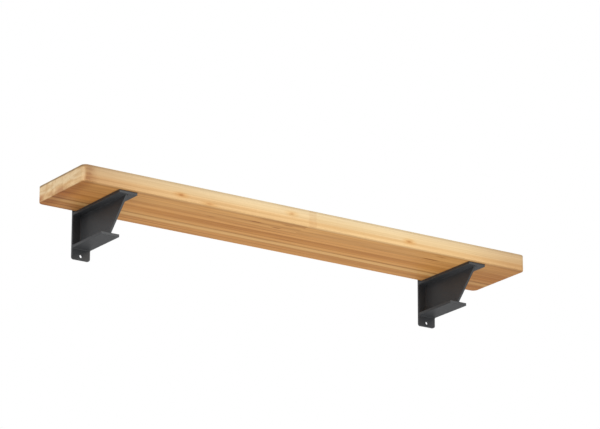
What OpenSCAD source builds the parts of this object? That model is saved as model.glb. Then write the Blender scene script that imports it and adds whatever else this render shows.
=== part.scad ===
// Wall shelf: a glued-up wooden board on two welded steel brackets.
// The long side of the shelf runs along X, the wall is the plane y = 0 with the shelf on
// its -Y side, and Z points up. The origin is the middle of the four wall screw holes,
// on the back faces of the two wall plates.

/* [Board] */
// Length of the board, along the wall
board_l = 914.4; // [880:0.1:1000]
// Depth of the board, from its front face to its rear face
board_d = 152.4; // [145:0.1:180]
// Thickness of the board
board_t = 30; // [24:0.5:40]
// Radius of the board's four upright corners
corner_r = 10; // [4:0.5:14]
// Radius of the eased edges round the top and the underside
edge_r = 2; // [1:0.1:3.5]
// Gap between the wall and the rear face of the board
wall_gap = 9.6; // [8.5:0.1:16]

/* [Staves] */
// Width of the front stave
front_stave_w = 44; // [36:1:50]
// Width of the second stave from the front
second_stave_w = 23; // [16:1:26]
// Width of the third stave from the front
third_stave_w = 23; // [16:1:26]
// Width of the fourth stave from the front
fourth_stave_w = 14; // [10:1:16]
// Width of the pale stave
pale_stave_w = 15; // [10:1:16]
// Length of the fingers where the two halves of the front stave meet
finger_l = 16; // [8:1:24]
// Number of fingers across the thickness of the front stave
finger_count = 5; // [3:1:7]

/* [Brackets] */
// Distance between the centre lines of the two brackets
bracket_spacing = 720.5; // [600:0.5:740]
// Board end to the near edge of the left bracket
overhang_left = 73.4; // [60:0.1:100]
// Width of the plates and flanges
bar_w = 35; // [30:1:45]
// Thickness of the two flanges
flange_t = 5; // [3:0.1:6]
// Thickness of the web and the wall plate
sheet_t = 4; // [3:0.1:6]
// Height of the arm, from the underside of the lower flange to the board
arm_h = 63; // [50:1:80]
// Set-back of the top flange behind the front face of the board
front_setback = 5.7; // [2:0.1:12]
// Wall to the front end of the lower flange
lower_flange_reach = 99.5; // [70:0.5:110]
// Set-back of the web behind the front end of the top flange
web_setback = 4.9; // [2:0.1:10]
// Length of the tab past the arm at each end of the wall plate
tab_l = 19; // [16:0.5:26]
// Corner radius of the tabs
tab_r = 4; // [2:0.5:6]
// Size of the weld beads
bead_r = 1; // [1:0.1:2.5]

/* [Fixings] */
// Diameter of the wall screw holes
wall_hole_d = 6; // [4:0.5:8]
// Centre of a wall screw hole to the end of its tab
wall_hole_inset = 7; // [6:0.5:10]
// Diameter of the board screws
screw_d = 4; // [3:0.5:4.5]
// Length of the board screws under the head
screw_l = 20; // [14:1:24]
// Front end of the top flange to the first board screw
screw_inset = 34; // [14:1:44]
// Distance between the two board screws of one bracket
screw_pitch = 90; // [60:1:105]

/* [Hidden] */
$fn = 48;

// Heights of the arm and of the board, with the arm's middle at z = 0
arm_top = arm_h / 2;
arm_bottom = -arm_h / 2;
board_bottom = arm_top;

// Centre lines of the brackets, and the ends of the board
left_x = -bracket_spacing / 2;
right_x = bracket_spacing / 2;
board_left = left_x - bar_w / 2 - overhang_left;
board_right = board_left + board_l;

// Faces of the board and of the steel, going out from the wall
board_rear = -wall_gap;
board_front = board_rear - board_d;
plate_face = -sheet_t;
flange_front = board_front + front_setback;
web_top_front = flange_front + web_setback;
lower_front = -lower_flange_reach;

// Glue lines of the board, from the front face to the rear face
glue_1 = board_front + front_stave_w;
glue_2 = glue_1 + second_stave_w;
glue_3 = glue_2 + third_stave_w;
glue_4 = glue_3 + fourth_stave_w;
glue_5 = glue_4 + pale_stave_w;

// Wall plate and its holes
plate_h = arm_h + 2 * tab_l;
hole_z = plate_h / 2 - wall_hole_inset;

// Board screws, on the right of the web, half way out to the edge of the flange
screw_x = (bar_w + sheet_t) / 4;
screw_ys = [flange_front + screw_inset, flange_front + screw_inset + screw_pitch];
screw_clearance_d = screw_d + 0.5;
pilot_d = screw_d + 0.1;
pilot_l = screw_l - flange_t + 1;
head_d = 2 * screw_d;
head_h = 0.65 * screw_d;
head_crown_r = 0.58 * head_d;
plain_min_l = 3;
run_out_l = 0.5;
thread_pitch = 1.8;
core_d = 0.7 * screw_d;
tip_l = 1.2 * screw_d;
recess_w = 0.25 * screw_d;
recess_l = 0.6 * head_d;
recess_h = 0.6 * head_h;

honey = [0.80, 0.62, 0.40];
tan = [0.72, 0.54, 0.33];
pale = [0.86, 0.69, 0.46];
charcoal = [0.17, 0.17, 0.18];
black_zinc = [0.12, 0.12, 0.13];

// Rectangle with four round corners, its lower left corner at the origin
module round_rectangle(w, h, r) {
    translate([r, 0]) square([w - 2 * r, h]);
    translate([0, r]) square([w, h - 2 * r]);
    for (x = [r, w - r], y = [r, h - r])
        translate([x, y]) circle(r);
}

// The whole board before it is split into staves: a slab each way with eased long edges,
// and a round at each corner with the same section, so the eased edge follows the outline
module board_blank() {
    translate([board_left, board_front, board_bottom]) {
        translate([corner_r, 0, 0])
            rotate([90, 0, 90])
                linear_extrude(board_l - 2 * corner_r)
                    round_rectangle(board_d, board_t, edge_r);
        translate([0, board_d - corner_r, 0])
            rotate([90, 0, 0])
                linear_extrude(board_d - 2 * corner_r)
                    round_rectangle(board_l, board_t, edge_r);
        for (x = [corner_r, board_l - corner_r], y = [corner_r, board_d - corner_r])
            translate([x, y, 0])
                rotate_extrude()
                    intersection() {
                        translate([-corner_r, 0]) round_rectangle(2 * corner_r, board_t, edge_r);
                        square([corner_r, board_t]);
                    }
    }
}

// The part of the board between two glue lines
module stave(y0, y1) {
    intersection() {
        board_blank();
        translate([board_left - 1, y0, board_bottom - 1])
            cube([board_l + 2, y1 - y0, board_t + 2]);
    }
}

// Outline of the finger joint in the XZ plane: everything left of the zigzag
module left_of_fingers() {
    step = board_t / finger_count;
    tips = [for (i = [0:2 * finger_count])
        [(i % 2 == 0 ? -1 : 1) * finger_l / 2, i * step / 2]];
    polygon(concat([[-board_l, 0]], tips, [[-board_l, board_t]]));
}

module finger_side() {
    translate([(board_left + board_right) / 2, glue_1 + 1, board_bottom])
        rotate([90, 0, 0])
            linear_extrude(front_stave_w + 2)
                left_of_fingers();
}

// Pilot holes for the board screws, up from the underside
module pilot_holes() {
    for (x = [left_x, right_x], y = screw_ys)
        translate([x + screw_x, y, board_bottom - 1])
            cylinder(d = pilot_d, h = pilot_l + 1);
}

module front_stave_left() {
    color(honey)
        difference() {
            intersection() {
                stave(board_front - 1, glue_1);
                finger_side();
            }
            pilot_holes();
        }
}

module front_stave_right() {
    color(honey)
        difference() {
            stave(board_front - 1, glue_1);
            finger_side();
            pilot_holes();
        }
}

module second_stave() {
    color(honey) stave(glue_1, glue_2);
}

module third_stave() {
    color(tan) stave(glue_2, glue_3);
}

module fourth_stave() {
    color(honey) stave(glue_3, glue_4);
}

module pale_stave() {
    color(pale) stave(glue_4, glue_5);
}

module rear_stave() {
    color(tan)
        difference() {
            stave(glue_5, board_rear + 1);
            pilot_holes();
        }
}

// Upright plate that screws to the wall above and below the arm
module wall_plate(x) {
    color(charcoal)
        translate([x, 0, 0])
            rotate([90, 0, 0])
                linear_extrude(sheet_t)
                    difference() {
                        translate([-bar_w / 2, -plate_h / 2])
                            round_rectangle(bar_w, plate_h, tab_r);
                        for (z = [-hole_z, hole_z])
                            translate([0, z]) circle(d = wall_hole_d);
                    }
}

// Flat bar under the board, with clearance holes for the two board screws
module top_flange(x) {
    color(charcoal)
        difference() {
            translate([x - bar_w / 2, flange_front, arm_top - flange_t])
                cube([bar_w, plate_face - flange_front, flange_t]);
            for (y = screw_ys)
                translate([x + screw_x, y, arm_top - flange_t - 1])
                    cylinder(d = screw_clearance_d, h = flange_t + 2);
        }
}

// Shorter flat bar along the bottom of the web
module lower_flange(x) {
    color(charcoal)
        translate([x - bar_w / 2, lower_front, arm_bottom])
            cube([bar_w, plate_face - lower_front, flange_t]);
}

// Upright web on the centre line, cut on the slant between the ends of the two flanges
module web(x) {
    color(charcoal)
        translate([x - sheet_t / 2, 0, 0])
            rotate([90, 0, 90])
                linear_extrude(sheet_t)
                    polygon([
                        [plate_face, arm_bottom + flange_t],
                        [plate_face, arm_top - flange_t],
                        [web_top_front, arm_top - flange_t],
                        [lower_front, arm_bottom + flange_t]
                    ]);
}

// Quarter-round weld bead along +Z, filling the corner between +X and +Y
module bead(l) {
    linear_extrude(l)
        intersection() {
            circle(bead_r);
            square(bead_r);
        }
}

// Beads along both sides of the web, to the flanges above and below it
module arm_welds(x) {
    top_l = plate_face - web_top_front - bead_r;
    lower_l = plate_face - lower_front - bead_r;
    color(charcoal)
        for (side = [0, 1])
            translate([x, plate_face, 0])
                mirror([side, 0, 0])
                    translate([sheet_t / 2, -bead_r, 0]) {
                        translate([0, -lower_l, arm_bottom + flange_t])
                            rotate([-90, 0, 0]) mirror([0, 1, 0]) bead(lower_l);
                        translate([0, -top_l, arm_top - flange_t])
                            rotate([-90, 0, 0]) bead(top_l);
                    }
}

// Beads where the ends of the arm meet the wall plate
module plate_welds(x) {
    web_h = arm_h - 2 * flange_t;
    side_l = (bar_w - sheet_t) / 2;
    color(charcoal)
        translate([x, plate_face, 0]) {
            for (side = [0, 1])
                mirror([side, 0, 0]) {
                    translate([sheet_t / 2, 0, -web_h / 2])
                        mirror([0, 1, 0]) bead(web_h);
                    translate([sheet_t / 2, 0, arm_top - flange_t])
                        rotate([0, 90, 0]) mirror([0, 1, 0]) bead(side_l);
                    translate([sheet_t / 2, 0, arm_bottom + flange_t])
                        rotate([0, 90, 0]) mirror([0, 1, 0]) mirror([1, 0, 0]) bead(side_l);
                }
            translate([-bar_w / 2, 0, arm_top])
                rotate([0, 90, 0]) mirror([0, 1, 0]) mirror([1, 0, 0]) bead(bar_w);
            translate([-bar_w / 2, 0, arm_bottom])
                rotate([0, 90, 0]) mirror([0, 1, 0]) bead(bar_w);
        }
}

// Pan-head wood screw pointing up, with the underside of its head at z = 0
module board_screw() {
    thread_count = floor((screw_l - tip_l - plain_min_l) / thread_pitch);
    plain_l = screw_l - tip_l - thread_count * thread_pitch;
    ridges = [for (i = [0:thread_count - 1])
        each [
            [core_d / 2, plain_l + i * thread_pitch],
            [screw_d / 2, plain_l + (i + 0.5) * thread_pitch]
        ]];
    difference() {
        union() {
            rotate_extrude()
                polygon(concat(
                    [[0, 0], [screw_d / 2, 0], [screw_d / 2, plain_l - run_out_l]],
                    ridges,
                    [[core_d / 2, screw_l - tip_l], [0, screw_l]]
                ));
            rotate_extrude()
                intersection() {
                    translate([0, -head_h]) square([head_d / 2, head_h]);
                    translate([0, head_crown_r - head_h]) circle(head_crown_r);
                }
        }
        for (a = [0, 90])
            rotate(a)
                translate([-recess_l / 2, -recess_w / 2, -head_h - 1])
                    cube([recess_l, recess_w, 1 + recess_h]);
    }
}

module board_screws(x) {
    color(black_zinc)
        for (y = screw_ys)
            translate([x + screw_x, y, arm_top - flange_t])
                board_screw();
}

module left_wall_plate() { wall_plate(left_x); }
module left_top_flange() { top_flange(left_x); }
module left_web() { web(left_x); }
module left_lower_flange() { lower_flange(left_x); }
module left_arm_welds() { arm_welds(left_x); }
module left_plate_welds() { plate_welds(left_x); }
module left_board_screws() { board_screws(left_x); }
module right_wall_plate() { wall_plate(right_x); }
module right_top_flange() { top_flange(right_x); }
module right_web() { web(right_x); }
module right_lower_flange() { lower_flange(right_x); }
module right_arm_welds() { arm_welds(right_x); }
module right_plate_welds() { plate_welds(right_x); }
module right_board_screws() { board_screws(right_x); }

front_stave_left();
front_stave_right();
second_stave();
third_stave();
fourth_stave();
pale_stave();
rear_stave();
left_wall_plate();
left_top_flange();
left_web();
left_lower_flange();
left_arm_welds();
left_plate_welds();
left_board_screws();
right_wall_plate();
right_top_flange();
right_web();
right_lower_flange();
right_arm_welds();
right_plate_welds();
right_board_screws();
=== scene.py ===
from math import pi, radians

import bmesh
import bpy
from mathutils import Matrix, Quaternion, Vector


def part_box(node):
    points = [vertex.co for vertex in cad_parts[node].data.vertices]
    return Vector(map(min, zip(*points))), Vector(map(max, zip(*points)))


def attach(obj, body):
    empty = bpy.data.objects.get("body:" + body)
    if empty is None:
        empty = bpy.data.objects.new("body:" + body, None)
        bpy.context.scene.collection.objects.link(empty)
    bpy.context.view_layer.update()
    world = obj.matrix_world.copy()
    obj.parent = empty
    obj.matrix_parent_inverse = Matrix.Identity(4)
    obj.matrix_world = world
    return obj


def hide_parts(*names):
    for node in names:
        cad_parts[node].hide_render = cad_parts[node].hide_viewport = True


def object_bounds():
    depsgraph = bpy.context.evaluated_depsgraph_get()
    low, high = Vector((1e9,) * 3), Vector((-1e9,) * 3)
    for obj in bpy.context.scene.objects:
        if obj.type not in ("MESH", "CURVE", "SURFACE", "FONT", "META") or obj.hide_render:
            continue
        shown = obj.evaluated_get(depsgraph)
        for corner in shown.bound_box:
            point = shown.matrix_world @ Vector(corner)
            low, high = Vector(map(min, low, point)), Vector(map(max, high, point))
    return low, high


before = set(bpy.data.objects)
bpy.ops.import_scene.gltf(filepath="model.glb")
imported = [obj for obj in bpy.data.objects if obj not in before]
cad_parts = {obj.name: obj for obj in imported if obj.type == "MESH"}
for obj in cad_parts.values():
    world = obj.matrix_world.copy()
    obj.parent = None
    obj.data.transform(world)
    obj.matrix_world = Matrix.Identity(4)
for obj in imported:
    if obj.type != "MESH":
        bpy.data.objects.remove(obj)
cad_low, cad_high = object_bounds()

# ---------------------------------------------------------------------------------------
# The board: six pine staves glued edge to edge, planed, with eased edges and round
# corners, under a thin satin lacquer. The front stave is two lengths that meet in a
# finger joint. Every stave is its own stick of wood, with its own grain and tone.
# ---------------------------------------------------------------------------------------


class Socket:
    """An output of a shader node. Sums and products of sockets add their Math nodes."""

    def __init__(self, output):
        self.output = output

    def node(self, kind, settings, inputs, result=0):
        """Adds a node to the same tree: settings first, then values or links of its sockets."""
        tree = self.output.id_data
        made = tree.nodes.new("ShaderNode" + kind)
        for key, value in settings.items():
            setattr(made, key, value)
        for key, value in inputs.items():
            if isinstance(value, Socket):
                tree.links.new(value.output, made.inputs[key])
            else:
                made.inputs[key].default_value = value
        return Socket(made.outputs[result]) if made.outputs else None

    def math(self, operation, *others):
        return self.node("Math", {"operation": operation}, dict(enumerate((self, *others))))

    def __add__(self, other):
        return self.math("ADD", other)

    __radd__ = __add__

    def __sub__(self, other):
        return self.math("SUBTRACT", other)

    def __rsub__(self, other):
        return self.node("Math", {"operation": "SUBTRACT"}, {0: other, 1: self})

    def __mul__(self, other):
        return self.math("MULTIPLY", other)

    __rmul__ = __mul__

    def __truediv__(self, other):
        return self.math("DIVIDE", other)

    def vector(self, operation, other=(0, 0, 0), result=0):
        settings = {"operation": operation}
        return self.node("VectorMath", settings, {0: self, 1: other}, result)

    def scaled(self, factor):
        return self.vector("MULTIPLY", (factor, factor, factor))

    def along(self, direction):
        return self.vector("DOT_PRODUCT", direction, "Value")

    def step(self, start, end):
        """0 where this value is start, 1 where it is end, and smooth between them."""
        settings = {"interpolation_type": "SMOOTHSTEP"}
        return self.node("MapRange", settings, {0: self, 1: start, 2: end})

    def noise(self, per_metre, seed, detail=2.0, result=0):
        """Noise from 0 to 1 at this place, with so many features a metre along X, Y and Z."""
        inputs = {"Vector": self.vector("MULTIPLY", per_metre), "W": seed,
                  "Scale": 1.0, "Detail": detail}
        return self.node("TexNoise", {"noise_dimensions": "4D"}, inputs, result)

    def mix(self, first, second):
        """The colour that goes from first to second as this value goes from 0 to 1."""
        return self.node("Mix", {"data_type": "RGBA"}, {0: self, 6: first, 7: second}, 2)

    def tint(self, colour, share):
        """This colour multiplied by another, to a share of the full strength."""
        settings = {"data_type": "RGBA", "blend_type": "MULTIPLY"}
        return self.node("Mix", settings, {0: share, 6: self, 7: colour}, 2)


def surface(name, finish, **constants):
    """A material whose finish works out colour, roughness and relief from a place in metres."""
    material = bpy.data.materials.new(name)
    material.use_nodes = True
    nodes = material.node_tree.nodes
    nodes.clear()
    place = Socket(nodes.new("ShaderNodeTexCoord").outputs["Object"])
    colour, roughness, relief, depth = finish(place)
    normal = place.node("Bump", {}, {"Height": relief, "Distance": depth})
    shader = place.node("BsdfPrincipled", {}, {
        "Base Color": colour, "Roughness": roughness, "Normal": normal, **constants})
    shader.node("OutputMaterial", {}, {"Surface": shader})
    return material


board_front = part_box("front_stave_left")[0].y
board_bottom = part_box("front_stave_left")[0].z
board_top = cad_high.z
board_middle = (cad_low.x + cad_high.x) / 2
finger_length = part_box("front_stave_left")[1].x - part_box("front_stave_right")[0].x

# Heights on the faces where the wood's tone changes, how far the stain, the painted shade toward
# the ends and the front face painted as a lit face reach in, and how wide a glue line is and how
# deep the grain stands
warm_below = board_bottom + 0.0085
plain_from = board_bottom + 0.0145
pale_above = board_top - 0.0025
rim_start = board_top - 0.0050
rim_full = board_top - 0.0026
lit_front_depth = 0.008
end_cap_reach, end_cap_full = 0.034, 0.008
left_shade_reach = 0.170
right_shade_reach = 0.150
glue_line_half = 0.0006
grain_depth = 0.00025

# Paler tone toward the top of the front face, which is painted paler than the underside as a lit
# face
paler_upper_front = (0.665, 0.54, 0.34, 1)
pale_end_grain = (0.80, 0.64, 0.40, 1)
brown_end_grain = (0.57, 0.37, 0.18, 1)
orange_tint = (0.99, 0.885, 0.76, 1)
# Darker tone for the stained left end and for the painted shade toward both ends
end_stain_and_shade = (0.62, 0.49, 0.39, 1)
smudge_brown = (0.66, 0.46, 0.38, 1)
rim_grey = (0.42, 0.38, 0.33, 1)
joint_pink = (0.94, 0.90, 0.87, 1)
knot_brown = (0.66, 0.45, 0.27, 1)
knot_orange = (0.95, 0.80, 0.58, 1)
streak_brown = (0.72, 0.58, 0.42, 1)
glue_brown = (0.55, 0.42, 0.30, 1)

left_end_smudges = [
    # low on the sawn end
    ((cad_low.x, -0.0850, 0.0352), (0.0060, 0.0160, 0.0050), 0.80),
    ((cad_low.x, -0.0560, 0.0362), (0.0050, 0.0090, 0.0035), 0.50),
    ((cad_low.x, -0.0210, 0.0380), (0.0050, 0.0110, 0.0065), 0.85),
    # up the front corner
    ((cad_low.x + 0.0080, board_front, 0.0370), (0.0065, 0.0050, 0.0026), 0.42),
    ((cad_low.x + 0.0105, board_front, 0.0450), (0.0065, 0.0050, 0.0028), 0.45),
    ((cad_low.x + 0.0135, board_front, 0.0538), (0.0080, 0.0050, 0.0030), 0.34),
]


def wood(light, dark, heart, ring, seed, glue_lines, knots=(), streaks=(), lit_front_tones=()):
    """The finish of one stave. heart is the (y, z) of the tree's heart, ring a year's growth.
    A knot or a streak is its middle, its half size each way (0 where it runs right through),
    and how dark it is, or how pale when that is below 0. The last argument is the front face's two
    tones, painted paler than the underside as a lit face."""

    def finish(place):
        # Growth rings are long tubes round the heart that wander slowly along the stave
        slow = place.noise((1.6, 10.0, 10.0), seed, 1.0, "Color")
        quick = place.noise((26.0, 90.0, 90.0), seed + 1, 2.0, "Color")
        wander = slow.scaled(0.014).vector("ADD", quick.scaled(0.0007))
        across = place.vector("ADD", wander).vector("SUBTRACT", (0.0, *heart))
        radius = across.vector("MULTIPLY", (0.0, 1.0, 1.0)).vector("LENGTH", result="Value")
        ragged = place.noise((110.0, 420.0, 420.0), seed + 2, 2.0) - 0.5

        def distance(middle, size):
            """How far a place is from a mark's middle, where 1 is at its edge."""
            reach = [1 / half if half else 0.0 for half in size]
            away = place.vector("SUBTRACT", middle).vector("MULTIPLY", reach)
            return away.vector("LENGTH", result="Value") + ragged * 0.8

        # Knots push the rings aside and are darkest in the middle
        knot = ragged * 0
        halo = ragged * 0
        for middle, size, strength in knots:
            away = distance(middle, size)
            radius = radius + away.step(2.2, 0.0) * (0.5 * ring)
            halo = halo.math("MAXIMUM", away.step(2.4, 0.6) * strength)
            knot = knot.math("MAXIMUM", away.step(1.1, 0.0) * strength)

        # Pale spring wood grows slowly darker to the year's end, then starts afresh
        year = (radius / ring + place.noise((0.8, 60.0, 60.0), seed + 3) * 1.6).math("FRACT")
        late = year.step(0.25, 0.9) * year.step(1.0, 0.93)
        band = place.noise((1.0, 48.0, 48.0), seed + 4, 3.0)
        streak = place.noise((4.0, 210.0, 210.0), seed + 5, 4.0)
        dash = place.noise((11.0, 300.0, 300.0), seed + 7, 3.0)
        fibre = place.noise((45.0, 1500.0, 1500.0), seed + 6, 3.0)
        tone = 0.42 * band.step(0.32, 0.68) + 0.54 * streak.step(0.34, 0.68) + 0.26 * late
        tone = tone + 0.30 * dash.step(0.56, 0.74) + 0.20 * (fibre - 0.5) - 0.17
        for middle, size, strength in streaks:
            tone = tone + distance(middle, size).step(1.4, 0.3) * strength
        colour = tone.mix(light, dark).tint(streak_brown, tone.step(1.0, 1.7))

        along = place.along((1, 0, 0))
        height = place.along((0, 0, 1))
        facing = Socket(place.output.node.outputs["Normal"]).vector("ABSOLUTE")
        lower = (height + (band - 0.5) * 0.008).step(plain_from, warm_below)
        if lit_front_tones:
            # The front stave's face is painted paler than its underside, as a lit face beside a
            # shaded one, paler still toward the top and warmer toward the bottom; the joint's glue
            # shows as a band
            depth = place.along((0, 1, 0)) - board_front
            inside = (depth + (streak - 0.5) * 0.004).step(0.0, lit_front_depth)
            lit_front = tone.mix(*lit_front_tones).tint(orange_tint, lower)
            upper = (height + (streak - 0.5) * 0.006).step(plain_from, pale_above)
            lit_front = (upper * 0.5).mix(lit_front, paler_upper_front)
            # Painted shade darkens the front face toward both ends, the left one most
            painted_end_shade = 0.30 * along.step(board_middle - 0.08, cad_low.x + 0.10)
            painted_end_shade = painted_end_shade + 0.20 * along.step(board_middle + 0.12, cad_high.x - 0.08)
            lit_front = lit_front.tint(end_stain_and_shade, painted_end_shade)
            from_joint = (along - board_middle).math("ABSOLUTE") + (dash - 0.5) * 0.006
            lit_front = lit_front.tint(joint_pink, from_joint.step(0.6 * finger_length, 0.4 * finger_length))
            colour = inside.mix(lit_front, colour)
        colour = colour.tint(knot_orange, halo).tint(knot_brown, knot)
        for y in glue_lines:
            off = (place.along((0, 1, 0)) - y).math("ABSOLUTE")
            colour = colour.tint(glue_brown, off.step(glue_line_half, 0.0) * 0.55)

        # The left end's last centimetres are stained darker, painted shade darkens the board
        # toward both ends, the left one most, and the sawn ends are pale
        from_left = along - cad_low.x + (dash - 0.5) * 0.016
        from_right = cad_high.x - along
        stain_and_shade = 0.50 * from_left.step(end_cap_reach, end_cap_full)
        # Painted shade: the overhangs darker toward the ends, where the brackets shade them and
        # the light falls off
        stain_and_shade = stain_and_shade + 0.52 * from_left.step(left_shade_reach, 0.0)
        stain_and_shade = stain_and_shade + 0.58 * from_right.step(right_shade_reach, 0.0)
        colour = colour.tint(end_stain_and_shade, stain_and_shade)
        end_grain = facing.along((1, 0, 0)).step(0.25, 0.95)
        blotch = place.noise((40.0, 34.0, 130.0), seed + 8, 3.0)
        pore = place.noise((300.0, 700.0, 700.0), seed + 9, 2.0)
        brown = 0.70 * blotch.step(0.34, 0.66) + 0.25 * pore + 0.25 * tone - 0.05
        sawn = brown.mix(pale_end_grain, brown_end_grain).tint(orange_tint, lower * 0.8)
        colour = (end_grain * 0.9).mix(colour, sawn)

        # Brown smudges lie low on the left end and up its front corner
        smudge = ragged * 0
        for middle, size, strength in left_end_smudges:
            smudge = smudge.math("MAXIMUM", distance(middle, size).step(1.5, 0.2) * strength)
        colour = colour.tint(smudge_brown, smudge)

        # A thin darker line is painted round the top arris
        rim = height.step(rim_start, rim_full)
        rim = rim * facing.along((0, 0, 1)).step(0.98, 0.75) * (0.35 + 0.65 * end_grain)
        colour = colour.tint(rim_grey, rim * blotch.step(0.10, 0.55))

        roughness = 0.5 + 0.14 * fibre - 0.05 * late + 0.12 * end_grain
        relief = 0.6 * fibre - 0.35 * late - 0.3 * knot
        return colour, roughness, relief, grain_depth

    return finish


glue = [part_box(name)[0].y for name in
        ("second_stave", "third_stave", "fourth_stave", "pale_stave", "rear_stave")]

front_knots = [
    ((-0.2605, 0, 0.0415), (0.0092, 0, 0.0032), 0.75),
    ((-0.2045, 0, 0.0355), (0.0105, 0, 0.0024), 0.55),
    ((-0.0375, 0, 0.0486), (0.0085, 0, 0.0032), 0.60),
    ((0.2095, 0, 0.0420), (0.0088, 0, 0.0034), 0.80),
]
front_streaks = [
    # along the front face
    ((0, 0, 0.0400), (0, 0, 0.0022), 0.35),
    ((0, 0, 0.0345), (0, 0, 0.0018), -0.12),
    ((0, 0, 0.0578), (0, 0, 0.0014), 0.30),
    # along the underside, just behind its front edge
    ((0, -0.1552, 0), (0, 0.0028, 0), 0.35),
    # short dark streaks on the underside
    ((-0.093, -0.1340, 0), (0.0130, 0.0020, 0), 1.20),
    ((-0.035, -0.1462, 0), (0.0120, 0.0018, 0), 1.10),
    ((-0.045, -0.1249, 0), (0.0110, 0.0022, 0), 1.40),
    ((0.290, -0.1462, 0), (0.0120, 0.0018, 0), 1.00),
    ((0.282, -0.1249, 0), (0.0160, 0.0024, 0), 1.50),
]

# The front staves' last argument is their face's two tones, painted paler than the underside as a
# lit face
staves = {
    "front_stave_left": wood((0.77, 0.416, 0.138, 1), (0.50, 0.228, 0.060, 1),
                             (-0.150, -0.035), 0.0034, 3.1, glue[:1],
                             front_knots, front_streaks,
                             [(0.74, 0.545, 0.295, 1), (0.59, 0.395, 0.185, 1)]),
    "front_stave_right": wood((0.77, 0.416, 0.138, 1), (0.50, 0.228, 0.060, 1),
                              (-0.132, -0.060), 0.0031, 17.4, glue[:1],
                              front_knots, front_streaks,
                              [(0.78, 0.595, 0.335, 1), (0.65, 0.455, 0.225, 1)]),
    "second_stave": wood((0.76, 0.385, 0.118, 1), (0.47, 0.200, 0.050, 1),
                         (0.020, 0.030), 0.0024, 29.0, glue[0:2], streaks=[
                             ((-0.173, -0.1158, 0), (0.0100, 0.0016, 0), 0.7),
                             ((-0.057, -0.1056, 0), (0.0740, 0.0016, 0), 0.6)]),
    "third_stave": wood((0.73, 0.345, 0.092, 1), (0.45, 0.182, 0.040, 1),
                        (0.060, 0.080), 0.0028, 41.7, glue[1:3], streaks=[
                            ((0.008, -0.0762, 0), (0.0330, 0.0016, 0), 0.7),
                            ((-0.100, -0.0840, 0), (0.0500, 0.0018, 0), 0.4)]),
    "fourth_stave": wood((0.75, 0.385, 0.118, 1), (0.45, 0.195, 0.050, 1),
                         (-0.150, 0.120), 0.0022, 53.3, glue[2:4], streaks=[
                             ((0, -0.0665, 0), (0, 0.0024, 0), -0.45),
                             ((0, -0.0596, 0), (0, 0.0024, 0), 0.50)]),
    "pale_stave": wood((0.78, 0.455, 0.168, 1), (0.54, 0.275, 0.085, 1),
                       (-0.020, -0.060), 0.0030, 67.9, glue[3:5], streaks=[
                           ((0, -0.0505, 0), (0, 0.0050, 0), -0.50),
                           ((0, -0.0580, 0), (0, 0.0022, 0), 0.30),
                           ((-0.034, -0.0575, 0), (0.0380, 0.0024, 0), 0.6)]),
    "rear_stave": wood((0.76, 0.380, 0.118, 1), (0.46, 0.195, 0.050, 1),
                       (0.100, -0.020), 0.0026, 79.2, glue[4:], streaks=[
                           ((0, -0.0290, 0), (0, 0.0022, 0), 0.45)]),
}
for name, finish in staves.items():
    lacquered = surface(name + "_pine", finish, **{"Specular IOR Level": 0.3})
    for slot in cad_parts[name].material_slots:
        slot.material = lacquered

# ---------------------------------------------------------------------------------------
# Wall plates: upright flat steel bars, 35 mm wide, with round tabs above and below the
# arm and a hole in each tab for the wall screw. Laser cut, then coated with the rest of
# the bracket in charcoal powder, which leaves a fine texture and softens every edge.
# ---------------------------------------------------------------------------------------

coat_charcoal = (0.0360, 0.0385, 0.0425, 1)
coat_worn = (0.0615, 0.0650, 0.0700, 1)
pebble_depth = 0.00012


def powder_coat(place):
    """Charcoal powder coat: a fine pebbled skin, with faint clouds and a few fine specks."""
    cloud = place.noise((38.0, 38.0, 38.0), 5.0, 3.0)
    pebble = place.noise((1900.0, 1900.0, 1900.0), 8.0, 2.0)
    speck = place.noise((900.0, 900.0, 900.0), 11.0, 1.0).step(0.70, 0.80)
    colour = (0.5 * cloud + 0.35 * pebble + 0.5 * speck).mix(coat_charcoal, coat_worn)
    roughness = 0.46 + 0.10 * cloud - 0.08 * pebble
    return colour, roughness, pebble + 0.4 * cloud, pebble_depth


coated_steel = surface("charcoal_powder_coat", powder_coat, **{"Specular IOR Level": 0.4})
coat_radius = 0.0005
round_sides = 48
drill_length = 0.02


def block(name, low, high):
    """A plain bar between these two corners, with nothing else selected in the scene."""
    bpy.ops.object.select_all(action="DESELECT")
    bpy.ops.mesh.primitive_cube_add(size=1, location=(low + high) / 2, scale=high - low)
    made = bpy.context.object
    made.name = name
    bpy.ops.object.transform_apply()
    return made


def take_up(piece):
    """Selects one piece alone and makes it the active one."""
    bpy.ops.object.select_all(action="DESELECT")
    piece.select_set(True)
    bpy.context.view_layer.objects.active = piece


def cover(piece, material):
    """Gives a piece one material all over."""
    piece.data.materials.clear()
    piece.data.materials.append(material)


def pick(piece, kind, test):
    """In edit mode, selects only the piece's verts, edges or faces that pass a test."""
    bpy.ops.mesh.select_mode(type=kind)
    bpy.ops.mesh.select_all(action="DESELECT")
    mesh = bmesh.from_edit_mesh(piece.data)
    parts = {"VERT": mesh.verts, "EDGE": mesh.edges, "FACE": mesh.faces}[kind]
    for part in parts:
        part.select = test(part)
    mesh.select_flush_mode()
    bmesh.update_edit_mesh(piece.data)


def combine(piece, tool, operation):
    """Joins a tool to a piece, or cuts it out, and removes the tool."""
    take_up(piece)
    cut = piece.modifiers.new("cut", "BOOLEAN")
    cut.operation = operation
    cut.object = tool
    cut.solver = "EXACT"
    bpy.ops.object.modifier_apply(modifier=cut.name)
    bpy.data.objects.remove(tool)


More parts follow.
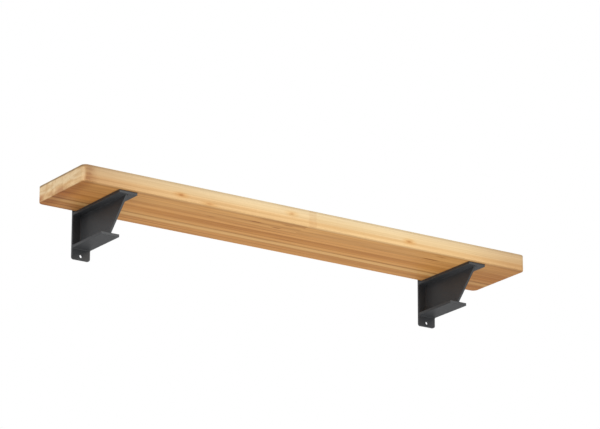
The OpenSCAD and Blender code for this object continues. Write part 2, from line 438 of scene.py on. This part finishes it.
def drill(piece, centre, axis, radius):
    """A round hole right through a piece, along an axis."""
    bpy.ops.object.select_all(action="DESELECT")
    turn = Vector((0, 0, 1)).rotation_difference(axis).to_euler()
    bpy.ops.mesh.primitive_cylinder_add(
        vertices=round_sides, radius=radius, depth=drill_length, location=centre, rotation=turn)
    combine(piece, bpy.context.object, "DIFFERENCE")


def coat(piece):
    """Softens a steel piece's edges, smooths them, and gives it the powder coat."""
    take_up(piece)
    soften = piece.modifiers.new("soften", "BEVEL")
    soften.width = coat_radius
    soften.segments = 3
    soften.limit_method = "ANGLE"
    soften.angle_limit = radians(40)
    bpy.ops.object.modifier_apply(modifier=soften.name)
    bpy.ops.object.shade_smooth()
    flatten = piece.modifiers.new("flatten", "WEIGHTED_NORMAL")
    bpy.ops.object.modifier_apply(modifier=flatten.name)
    cover(piece, coated_steel)


def pair(piece, node):
    """Puts a left bracket's piece in for its node, and a copy in for the right one's."""
    base = piece.name
    piece.name = "left_" + base
    take_up(piece)
    bpy.ops.object.duplicate()
    twin = bpy.context.object
    twin.name = "right_" + base
    bpy.ops.transform.translate(value=(bracket_spacing, 0, 0))
    bpy.ops.object.transform_apply()
    for side, made in (("left_", piece), ("right_", twin)):
        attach(made, "root")
        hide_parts(side + node)


plate_low, plate_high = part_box("left_wall_plate")
bracket_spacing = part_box("right_wall_plate")[0].x - plate_low.x
bracket_x = (plate_low.x + plate_high.x) / 2
tab_radius = 0.004
wall_hole_radius = 0.003
wall_hole_inset = 0.007
half_thickness = (plate_high.y - plate_low.y) / 2

plate = block("wall_plate_steel", plate_low, plate_high)
bpy.ops.object.mode_set(mode="EDIT")
pick(plate, "EDGE",
     lambda edge: abs(edge.verts[0].co.y - edge.verts[1].co.y) > half_thickness)
bpy.ops.mesh.bevel(offset=tab_radius, segments=8)
bpy.ops.object.mode_set(mode="OBJECT")
for z in (plate_low.z + wall_hole_inset, plate_high.z - wall_hole_inset):
    drill(plate, (bracket_x, plate_low.y, z), Vector((0, 1, 0)), wall_hole_radius)
coat(plate)
pair(plate, "wall_plate")

# ---------------------------------------------------------------------------------------
# Top flanges: flat bars that carry the board, as wide as the wall plates and nearly as
# long as the board is deep. Two clearance holes beside the web take the board screws.
# ---------------------------------------------------------------------------------------

flange_low, flange_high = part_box("left_top_flange")
screw_low, screw_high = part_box("left_board_screws")
head_radius = 0.004
screw_x = (screw_low.x + screw_high.x) / 2
screw_ys = (screw_low.y + head_radius, screw_high.y - head_radius)
clearance_radius = 0.00225

top_flange = block("top_flange_steel", flange_low, flange_high)
for y in screw_ys:
    drill(top_flange, (screw_x, y, flange_low.z), Vector((0, 0, 1)), clearance_radius)
coat(top_flange)
pair(top_flange, "top_flange")

# ---------------------------------------------------------------------------------------
# Lower flanges: shorter flat steel bars along the bottom of the arm, which stiffen it.
# They are cut square, welded to the web and the wall plate, and coated with the rest.
# ---------------------------------------------------------------------------------------

lower_low, lower_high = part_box("left_lower_flange")
lower_flange = block("lower_flange_steel", lower_low, lower_high)
coat(lower_flange)
pair(lower_flange, "lower_flange")

# ---------------------------------------------------------------------------------------
# Webs: the upright plates on the centre lines of the brackets, between the two flanges.
# The front edge is cut on the slant, from the end of one flange to the end of the other.
# ---------------------------------------------------------------------------------------

web_low, web_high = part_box("left_web")
web = block("web_steel", web_low, web_high)
bpy.ops.object.mode_set(mode="EDIT")
front_middle = (web_low.y + web_high.y) / 2
pick(web, "VERT", lambda v: v.co.y < front_middle and v.co.z < 0)
bpy.ops.transform.translate(value=(0, lower_low.y - web_low.y, 0))
bpy.ops.object.mode_set(mode="OBJECT")
coat(web)
pair(web, "web")

# ---------------------------------------------------------------------------------------
# Weld beads: small fillets of weld metal in the corners where the bars meet, laid in even
# ripples and coated with the rest. The arm's four run along both sides of the web.
# ---------------------------------------------------------------------------------------

bead_radius = 0.001
ripple_length = 0.0014
ripple_waist = 0.90
bead_sides = 24
ring_merge = 0.00001
looks_along_axis = 0.99


def close_ends():
    """Closes the active piece's open ends and turns its faces outward."""
    bpy.ops.object.mode_set(mode="EDIT")
    bpy.ops.mesh.select_all(action="SELECT")
    bpy.ops.mesh.fill_holes(sides=0)
    bpy.ops.mesh.select_all(action="SELECT")
    bpy.ops.mesh.normals_make_consistent(inside=False)
    bpy.ops.object.mode_set(mode="OBJECT")


def bead(start, along, side, other_side, length):
    """A rippled quarter-round bead from start, in the corner between two directions."""
    count = round(length / ripple_length)
    pitch = length / count
    bpy.ops.object.select_all(action="DESELECT")
    bpy.ops.mesh.primitive_circle_add(
        vertices=bead_sides, radius=bead_radius * ripple_waist, fill_type="NGON")
    made = bpy.context.object
    bpy.ops.object.mode_set(mode="EDIT")
    for keep_side in ((1, 0, 0), (0, 1, 0)):
        bpy.ops.mesh.select_all(action="SELECT")
        bpy.ops.mesh.bisect(plane_co=(0, 0, 0), plane_no=keep_side, clear_inner=True)
    bpy.ops.mesh.select_all(action="SELECT")
    for scale, height in ((1 / ripple_waist, pitch / 2), (ripple_waist, pitch)):
        bpy.ops.mesh.extrude_region_move(
            TRANSFORM_OT_translate={"value": (0, 0, pitch / 2)})
        bpy.ops.transform.resize(
            value=(scale, scale, 1), center_override=(0, 0, height))
    pick(made, "FACE", lambda face: abs(face.normal.z) > looks_along_axis)
    bpy.ops.mesh.delete(type="ONLY_FACE")
    bpy.ops.object.mode_set(mode="OBJECT")
    run = made.modifiers.new("run", "ARRAY")
    run.count = count
    run.use_relative_offset = False
    run.use_constant_offset = True
    run.constant_offset_displace = (0, 0, pitch)
    run.use_merge_vertices = True
    run.merge_threshold = ring_merge
    bpy.ops.object.modifier_apply(modifier=run.name)
    turn = Matrix((side, other_side, along)).transposed()
    made.matrix_world = Matrix.Translation(start) @ turn.to_4x4()
    bpy.ops.object.transform_apply()
    close_ends()
    bpy.ops.object.shade_smooth_by_angle(angle=radians(50))
    return made


def join(name, beads):
    """One piece from several beads, coated like the bars."""
    bpy.ops.object.select_all(action="DESELECT")
    for part in beads:
        part.select_set(True)
    bpy.context.view_layer.objects.active = beads[0]
    bpy.ops.object.join()
    made = bpy.context.object
    made.name = name
    cover(made, coated_steel)
    return made


left, right = Vector((-1, 0, 0)), Vector((1, 0, 0))
outward, up, down = Vector((0, -1, 0)), Vector((0, 0, 1)), Vector((0, 0, -1))
plate_face = plate_low.y
arm_beads = []
for side, face in ((left, web_low.x), (right, web_high.x)):
    for z, away, front in ((web_high.z, down, web_low.y), (web_low.z, up, lower_low.y)):
        length = plate_face - front - 2 * bead_radius
        start = Vector((face, plate_face - bead_radius, z))
        arm_beads.append(bead(start, outward, side, away, length))
pair(join("arm_weld_beads", arm_beads), "arm_welds")

# ---------------------------------------------------------------------------------------
# The beads where the arm meets the wall plate: up both sides of the web, across the inner
# faces of the flanges, and over and under the arm.
# ---------------------------------------------------------------------------------------

plate_beads = []
for side, face, edge in ((left, web_low.x, plate_low.x), (right, web_high.x, plate_high.x)):
    upright = Vector((face, plate_face, web_low.z))
    plate_beads.append(bead(upright, up, side, outward, web_high.z - web_low.z))
    for z, away in ((web_high.z, down), (web_low.z, up)):
        corner = Vector((face, plate_face, z))
        plate_beads.append(bead(corner, side, outward, away, abs(edge - face)))
for z, away in ((flange_high.z, up), (lower_low.z, down)):
    corner = Vector((plate_low.x, plate_face, z))
    plate_beads.append(bead(corner, right, outward, away, plate_high.x - plate_low.x))
pair(join("plate_weld_beads", plate_beads), "plate_welds")

# ---------------------------------------------------------------------------------------
# Board screws: two pan-head wood screws a bracket, black zinc, driven up through the top
# flange into the board. The head has a cross recess, and the thread runs most of the way.
# ---------------------------------------------------------------------------------------

shank_radius = 0.0020
core_radius = 0.0014
head_height = 0.0026
head_rounding = 0.55 * head_height
head_rim = -0.9 * head_height
shank_length = 0.0030
neck_length = 0.0004
tip_length = 0.0048
tip_share = 0.08
screw_length = screw_high.z - flange_low.z
core_length = screw_length - shank_length - neck_length - tip_length

bpy.ops.object.select_all(action="DESELECT")
bpy.ops.mesh.primitive_cylinder_add(
    vertices=round_sides, radius=head_radius, depth=head_height, location=(0, 0, -head_height / 2))
screw = bpy.context.object
screw.name = "board_screw_steel"
bpy.ops.object.transform_apply()
bpy.ops.object.mode_set(mode="EDIT")
pick(screw, "EDGE", lambda e: all(v.co.z < head_rim for v in e.verts))
bpy.ops.mesh.bevel(offset=head_rounding, segments=5)
pick(screw, "FACE", lambda f: f.normal.z > looks_along_axis)
bpy.ops.mesh.inset(thickness=head_radius - shank_radius)
for rise, scale in ((shank_length, 1.0), (neck_length, core_radius / shank_radius),
                    (core_length, 1.0), (tip_length, tip_share)):
    bpy.ops.mesh.extrude_region_move(TRANSFORM_OT_translate={"value": (0, 0, rise)})
    bpy.ops.transform.resize(value=(scale, scale, 1), center_override=(0, 0, 0))
bpy.ops.object.mode_set(mode="OBJECT")
bpy.ops.object.shade_smooth_by_angle(angle=radians(35))

bpy.ops.object.select_all(action="DESELECT")
thread_depth = 0.0005
thread_pitch = 0.0018
thread_foot = core_radius + 0.0001
thread_start = shank_length + 0.0006
thread_steps = 24
merge_distance = 0.000004
bpy.ops.mesh.primitive_circle_add(
    vertices=3, radius=thread_depth, location=(thread_foot, 0, thread_start),
    rotation=(pi / 2, pi / 2, 0))
thread = bpy.context.object
bpy.ops.object.transform_apply()
wind = thread.modifiers.new("wind", "SCREW")
wind.iterations = int((screw_length - tip_length - thread_start) / thread_pitch)
wind.screw_offset = thread_pitch
wind.steps = wind.render_steps = thread_steps
wind.use_merge_vertices = True
bpy.ops.object.modifier_apply(modifier=wind.name)
close_ends()

# The thread's foot runs nearly along the core's flats, so the joint leaves points to merge
combine(screw, thread, "UNION")
bpy.ops.object.mode_set(mode="EDIT")
bpy.ops.mesh.select_all(action="SELECT")
bpy.ops.mesh.remove_doubles(threshold=merge_distance)
bpy.ops.mesh.dissolve_degenerate(threshold=merge_distance)
bpy.ops.object.mode_set(mode="OBJECT")

recess_length, recess_width, recess_depth = 0.0042, 0.0009, 0.0015
recess_taper = 0.7
head_face = Vector((0, 0, -head_height))
for length, width in ((recess_length, recess_width), (recess_width, recess_length)):
    half = Vector((length / 2, width / 2, recess_depth))
    cutter = block("recess", head_face - half, head_face + half)
    bpy.ops.object.mode_set(mode="EDIT")
    pick(cutter, "VERT", lambda v: v.co.z > -head_height)
    bpy.ops.transform.resize(
        value=(recess_taper, recess_taper, 1), center_override=(0, 0, 0))
    bpy.ops.object.mode_set(mode="OBJECT")
    combine(screw, cutter, "DIFFERENCE")


zinc_dark = (0.030, 0.030, 0.032, 1)
zinc_light = (0.075, 0.075, 0.080, 1)
scratch_depth = 0.00002


def black_zinc(place):
    """Black zinc plate over steel: dark, half bright, with faint cloudy patches."""
    cloud = place.noise((600.0, 600.0, 600.0), 21.0, 3.0)
    scratch = place.noise((400.0, 400.0, 4000.0), 23.0, 2.0)
    colour = cloud.mix(zinc_dark, zinc_light)
    return colour, 0.30 + 0.18 * cloud, scratch, scratch_depth


zinc = surface("black_zinc_plate", black_zinc, Metallic=0.85)
cover(screw, zinc)
take_up(screw)
bpy.ops.transform.translate(value=(screw_x, screw_ys[0], flange_low.z))
bpy.ops.object.transform_apply()
bpy.ops.object.duplicate()
bpy.ops.transform.translate(value=(0, screw_ys[1] - screw_ys[0], 0))
bpy.ops.object.transform_apply()
screw.select_set(True)
bpy.context.view_layer.objects.active = screw
bpy.ops.object.join()
bpy.ops.object.shade_smooth_by_angle(angle=radians(35))
screw.name = "board_screws_steel"
pair(screw, "board_screws")

# ---------------------------------------------------------------------------------------
# The studio: a pale floor far below the shelf, a white surround, two large soft lights
# above, in front and to the left, and a third below that fills the underside.
# ---------------------------------------------------------------------------------------

floor_drop = 7.0
floor_size = 80
floor_dark = (0.80, 0.79, 0.78, 1)
floor_light = (0.84, 0.83, 0.82, 1)
bpy.ops.mesh.primitive_plane_add(size=floor_size, location=(0, 0, -floor_drop))
floor = bpy.context.object
floor.name = "studio_floor"


def pale_floor(place):
    """Matt white studio floor."""
    cloud = place.noise((0.8, 0.8, 0.8), 31.0)
    colour = cloud.mix(floor_dark, floor_light)
    return colour, 0.8 + 0.1 * cloud, cloud, 0.001


floor.data.materials.append(surface("studio_floor_paint", pale_floor))

world = bpy.data.worlds.new("studio_surround")
bpy.context.scene.world = world
world.use_nodes = True
world.node_tree.nodes.clear()
seen = Socket(world.node_tree.nodes.new("ShaderNodeLightPath").outputs["Is Camera Ray"])
surround = 0.58
strength = surround + (1 - surround) * seen
backdrop = seen.node("Background", {}, {"Color": (1, 1, 1, 1), "Strength": strength})
backdrop.node("OutputWorld", {}, {"Surface": backdrop})


def outwards(azimuth, elevation):
    """The way out from the shelf, at these degrees round from straight ahead and up."""
    back = Vector((0, -1, 0))
    back.rotate(Quaternion((1, 0, 0), -radians(elevation)))
    back.rotate(Quaternion((0, 0, 1), radians(azimuth)))
    return back


middle = (cad_low + cad_high) / 2
light_distance = 3.0
neutral_white = (1.0, 0.99, 0.97)
warm_white = (1.0, 0.97, 0.93)
for name, azimuth, elevation, size, power, colour in (
        ("key", 10, 24, 2.2, 52, neutral_white),
        ("side", -84, 24, 2.0, 42, neutral_white),
        ("fill_below", 0, -62, 2.4, 42, warm_white)):
    back = outwards(azimuth, elevation)
    bpy.ops.object.light_add(type="AREA", location=middle + back * light_distance)
    lamp = bpy.context.object
    lamp.name = name
    lamp.rotation_euler = (-back).to_track_quat("-Z", "Y").to_euler()
    lamp.data.shape = "DISK"
    lamp.data.size = size
    lamp.data.energy = power
    lamp.data.color = colour

# ---------------------------------------------------------------------------------------
# The camera: a long lens from the left, in front and below, looking up at the underside.
# It aims above the board and a little right of its middle, and is rolled very slightly.
# ---------------------------------------------------------------------------------------

camera_azimuth, camera_elevation, camera_roll = -33.80, -17.89, 0.13
camera_distance = 6.36
aim = Vector((0.08535, -0.0035, 0.1118))
back = outwards(camera_azimuth, camera_elevation)
bpy.ops.object.camera_add(location=aim + back * camera_distance)
camera = bpy.context.object
camera.rotation_mode = "QUATERNION"
camera.rotation_quaternion = ((-back).to_track_quat("-Z", "Y")
                              @ Quaternion((0, 0, 1), radians(camera_roll)))
camera.data.lens = 215.6
camera.data.sensor_width = 36
camera.data.clip_end = 200
bpy.context.scene.camera = camera
bpy.context.scene.view_settings.view_transform = "Standard"
